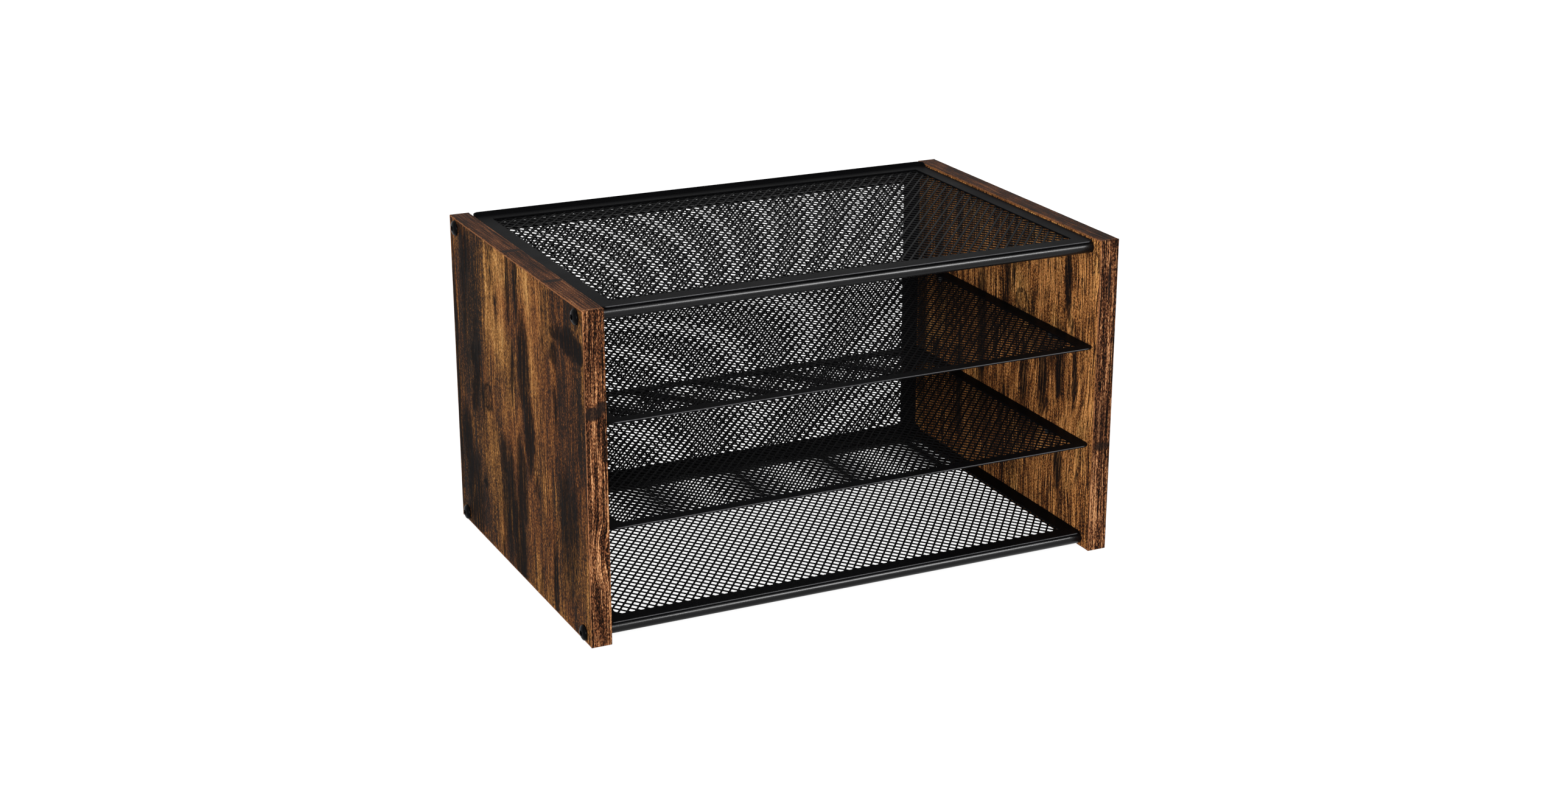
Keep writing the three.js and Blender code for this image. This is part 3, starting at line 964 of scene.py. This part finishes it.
def build_back():
    low, high = span("back_mesh")
    flat_low, flat_high = Vector((low.x, low.z, 0.0)), Vector((high.x, high.z, PLATE_THICKNESS))
    window = (high.x - BACK_MARGIN, low.z + BACK_MARGIN, high.z - BACK_MARGIN)
    vertices, faces = sheet_plate(flat_low, flat_high, window, BACK_CORNER, lip=False)
    upright = [(x, high.y - z, y) for x, y, z in vertices]
    rim = add_piece("back_rim", upright, faces, COATS["Plate"], PLATE_SHARP, weighted=True)
    place(rim, "frame", "back_mesh")
    reach = Vector((BACK_MARGIN - BACK_LAP, BACK_MARGIN - BACK_LAP, BACK_MESH_SINK))
    strands = diamond_sheet(flat_low + reach, flat_high - reach, BACK_PITCH, BACK_STRAND)
    for vertex in strands.verts:
        x, y, z = vertex.co
        vertex.co = (x, high.y * MM - z, y)
    sheet = finish_piece("back_diamond_mesh", strands, COATS["Mesh"], MESH_SHARP)
    place(sheet, "frame", "back_mesh")


# Rods, screws and pins: profiles turned round an axis along X
ROUND_SIDES = 48
ROD_CHAMFER = 0.45
BORE_RADIUS = 2.15
BORE_DEPTH = 9.6
PIN_CHAMFER = 0.6
HEAD_RADIUS = 4.8
HEAD_EDGE = 0.5
HEAD_BEVEL = 0.08
DOME_HEIGHT = 2.1
SOCKET_WIDTH = 3.0
SOCKET_FLOOR = 1.2
SOCKET_DIP = 0.15
SOCKET_BEVEL = 0.1
MOUTH_BEVEL = 0.12
SHANK_RADIUS = 2.0
TIP_CHAMFER = 0.5

# Shares of the head's radius, of the socket's width, and of a flat end's radius at its first ring
DOME_SHARES = (0.42, 0.5, 0.6, 0.7, 0.8, 0.88, 0.94, 0.98, 1.0)
MOUTH_SHARE = 0.36
FLOOR_SHARE = 0.92
MOUTH_WIDENING = 1.12
BORE_RING = 0.5
PIN_RING = 0.4


def turned(profile, centre_y, centre_z):
    """Closed turned shape from (x, radius) or (x, radius by angle); its ends are on the axis."""
    loops = []
    for x, radius in profile:
        loop = []
        for step in range(ROUND_SIDES):
            angle = 2 * math.pi * step / ROUND_SIDES
            reach = radius(angle) if callable(radius) else radius
            loop.append((x, centre_y + reach * math.cos(angle), centre_z + reach * math.sin(angle)))
        loops.append(loop)
    vertices, faces = loft(loops, closed=False)
    first = len(vertices)
    vertices += [(profile[0][0], centre_y, centre_z), (profile[-1][0], centre_y, centre_z)]
    last_ring = first - ROUND_SIDES
    for index in range(ROUND_SIDES):
        following = (index + 1) % ROUND_SIDES
        faces.append((first, following, index))
        faces.append((first + 1, last_ring + index, last_ring + following))
    return vertices, faces


def add_turned(name, node, profile, coat, sharp_angle):
    """A turned piece on the axis of the solid that it stands for."""
    low, high = span(node)
    vertices, faces = turned(profile, (low.y + high.y) / 2, (low.z + high.z) / 2)
    piece = add_piece(name, vertices, faces, coat, sharp_angle)
    place(piece, "frame", node)
    return piece


# The rods, for the one lamp that only they reflect
ROD_PIECES = bpy.data.collections.new("cross rods")


def build_rods():
    for place_name in CORNERS:
        node = f"{place_name}_rod"
        low, high = span(node)
        radius = (high.z - low.z) / 2
        bore_floor = -high.x + BORE_DEPTH
        half = [(bore_floor, BORE_RADIUS * BORE_RING), (bore_floor, BORE_RADIUS),
                (-high.x, BORE_RADIUS), (-high.x, radius - ROD_CHAMFER)]
        half += [(-high.x + drop, radius - inset) for inset, drop in fillet(ROD_CHAMFER)[1:]]
        profile = half + [(-x, r) for x, r in reversed(half)]
        piece = add_turned(f"{place_name}_cross_rod", node, profile, COATS["Rod"],
                           TURNED_SHARP)
        ROD_PIECES.objects.link(piece)


def hexagon(across_flats):
    """Radius of a hexagon by angle."""
    def radius(angle):
        turn = (angle + math.pi / 6) % (math.pi / 3) - math.pi / 6
        return across_flats / 2 / math.cos(turn)
    return radius


def dome_height(share):
    """Height of the head over the panel, at a share of its radius."""
    return HEAD_EDGE + DOME_HEIGHT * math.sqrt(1 - share ** 2)


def screw_profile(tip):
    """A screw from its socket's floor round to its tip: (height over the panel, radius)."""
    mouth = dome_height(MOUTH_SHARE)
    socket = [(SOCKET_FLOOR - SOCKET_DIP, SOCKET_DIP),
              (SOCKET_FLOOR, hexagon(SOCKET_WIDTH * FLOOR_SHARE)),
              (SOCKET_FLOOR + SOCKET_BEVEL, hexagon(SOCKET_WIDTH)),
              (mouth - MOUTH_BEVEL, hexagon(SOCKET_WIDTH)),
              (mouth, hexagon(SOCKET_WIDTH * MOUTH_WIDENING))]
    dome = [(dome_height(share), HEAD_RADIUS * share) for share in DOME_SHARES]
    shank = [(HEAD_BEVEL, HEAD_RADIUS), (0.0, HEAD_RADIUS - HEAD_BEVEL), (0.0, SHANK_RADIUS),
             (tip + TIP_CHAMFER, SHANK_RADIUS), (tip, SHANK_RADIUS - TIP_CHAMFER)]
    return socket + dome + shank


def build_screws():
    for side, sign in SIDES.items():
        for place_name in CORNERS:
            node = f"{side}_{place_name}_screw"
            low, high = span(node)
            tip = min(abs(low.x), abs(high.x)) - PANEL_OUTER
            profile = [(sign * (PANEL_OUTER + height), radius)
                       for height, radius in screw_profile(tip)]
            add_turned(f"{side}_{place_name}_domed_screw", node, profile, COATS["Screw"],
                       SCREW_SHARP)


def build_pins():
    for side in SIDES:
        for place_name in PIN_PLACES:
            node = f"{side}_{place_name}_pin"
            low, high = span(node)
            radius = (high.z - low.z) / 2
            profile = [(low.x, radius * PIN_RING), (low.x, radius - PIN_CHAMFER)]
            profile += [(low.x + drop, radius - inset) for inset, drop in fillet(PIN_CHAMFER)[1:]]
            profile += [(high.x - inset, radius - drop) for inset, drop in fillet(PIN_CHAMFER)]
            profile += [(high.x, radius * PIN_RING)]
            add_turned(f"{side}_{place_name}_shelf_pin", node, profile, COATS["Pin"],
                       TURNED_SHARP)


# Floor, light and camera: places in metres, angles in degrees, lens in millimetres
FLOOR_SIZE = 14.0
FLOOR_DROP = 0.00005
FLOOR_COLOUR = (0.86, 0.86, 0.86, 1.0)
WHITE = (1.0, 1.0, 1.0, 1.0)
FLOOR_WHITENESS = 1.15
SHADOW_REACH = (0.3, 0.9)
WHITE_SHARE_NEAR = 0.82
AMBIENT = 0.5
OBJECT_MIDDLE = (0.0, 0.0, 0.1)
FRONT_LAMP_PLACE = (0.66, -1.29, 0.82)
FRONT_LAMP_AIM = (0.0, -0.1, 0.2)
CAMERA_PLACE = (-0.6261, -1.3127, 0.5928)
CAMERA_YAW = 25.64
CAMERA_PITCH = 19.06
CAMERA_LENS = 55.51
SENSOR_WIDTH = 36.0
NEAREST = 0.01
FARTHEST = 50.0


def seen_directly(nodes):
    """1 for rays from the camera, from a reflection or through glass, and 0 for diffuse light."""
    path = nodes.add("ShaderNodeLightPath").outputs
    seen = nodes.math("MAXIMUM", path["Is Camera Ray"], path["Is Glossy Ray"])
    return nodes.math("MAXIMUM", seen, path["Is Transmission Ray"])


def build_floor():
    """A pale floor that shows white and keeps a faint shadow."""
    mesh = bpy.data.meshes.new("floor")
    half = FLOOR_SIZE / 2
    corners = [(-half, -half, 0), (half, -half, 0), (half, half, 0), (-half, half, 0)]
    mesh.from_pydata(corners, [], [(0, 1, 2, 3)])
    floor = add_object("floor", mesh)
    floor.location.z = -FLOOR_DROP
    material = bpy.data.materials.new("Pale floor")
    material.use_nodes = True
    nodes = Nodes(material.node_tree)
    material.node_tree.nodes.remove(material.node_tree.nodes["Principled BSDF"])
    matt = nodes.add("ShaderNodeBsdfDiffuse", {"Color": FLOOR_COLOUR})
    white = nodes.add("ShaderNodeEmission", {"Color": WHITE, "Strength": FLOOR_WHITENESS})
    place_of = nodes.add("ShaderNodeTexCoord").outputs["Object"]
    plain = nodes.fade(nodes.vector("LENGTH", place_of), *SHADOW_REACH, WHITE_SHARE_NEAR, 1.0)
    blend = nodes.add("ShaderNodeMixShader",
                      {0: nodes.times(seen_directly(nodes), plain),
                       1: matt.outputs[0], 2: white.outputs[0]})
    output = material.node_tree.nodes["Material Output"]
    nodes.put(output.inputs["Surface"], blend.outputs[0])
    mesh.materials.append(material)


def build_world():
    """White to look at, and a plain soft light from all round."""
    world = bpy.data.worlds.new("Studio")
    bpy.context.scene.world = world
    world.use_nodes = True
    nodes = Nodes(world.node_tree)
    background = world.node_tree.nodes["Background"]
    background.inputs["Color"].default_value = WHITE
    strength = nodes.math("MULTIPLY_ADD", seen_directly(nodes), 1.0 - AMBIENT, AMBIENT)
    nodes.put(background.inputs["Strength"], strength)


def softbox(name, location, target, width, height, radiance):
    """A rectangular lamp that looks at a point; radiance is its brightness."""
    data = bpy.data.lights.new(name, "AREA")
    data.shape = "RECTANGLE"
    data.size = width
    data.size_y = height
    data.energy = radiance * math.pi * width * height
    lamp = add_object(name, data)
    lamp.location = location
    direction = Vector(target) - Vector(location)
    lamp.rotation_euler = direction.to_track_quat("-Z", "Y").to_euler()
    return lamp


def build_lights():
    softbox("overhead", (0.0, 0.1, 1.6), OBJECT_MIDDLE, 1.2, 1.0, 1.1)
    softbox("front strip", FRONT_LAMP_PLACE, FRONT_LAMP_AIM, 0.95, 0.14, 13.0)
    glint = softbox("rod glint", FRONT_LAMP_PLACE, FRONT_LAMP_AIM, 1.1, 0.14, 130.0)
    glint.visible_diffuse = False
    glint.light_linking.receiver_collection = ROD_PIECES
    softbox("left fill", (-1.7, -0.9, 0.9), OBJECT_MIDDLE, 1.2, 1.2, 1.6)
    softbox("low fill", (-0.9, -1.5, 0.3), OBJECT_MIDDLE, 0.8, 0.5, 16.0)


def build_camera():
    data = bpy.data.cameras.new("camera")
    data.lens = CAMERA_LENS
    data.sensor_width = SENSOR_WIDTH
    data.clip_start = NEAREST
    data.clip_end = FARTHEST
    camera = add_object("camera", data)
    camera.location = CAMERA_PLACE
    camera.rotation_euler = (math.radians(90 - CAMERA_PITCH), 0.0, math.radians(-CAMERA_YAW))
    bpy.context.scene.camera = camera


build_camera()
build_panels()
build_shelves()
build_back()
build_rods()
build_screws()
build_pins()
build_floor()
build_world()
build_lights()
bpy.context.scene.view_settings.view_transform = "Standard"
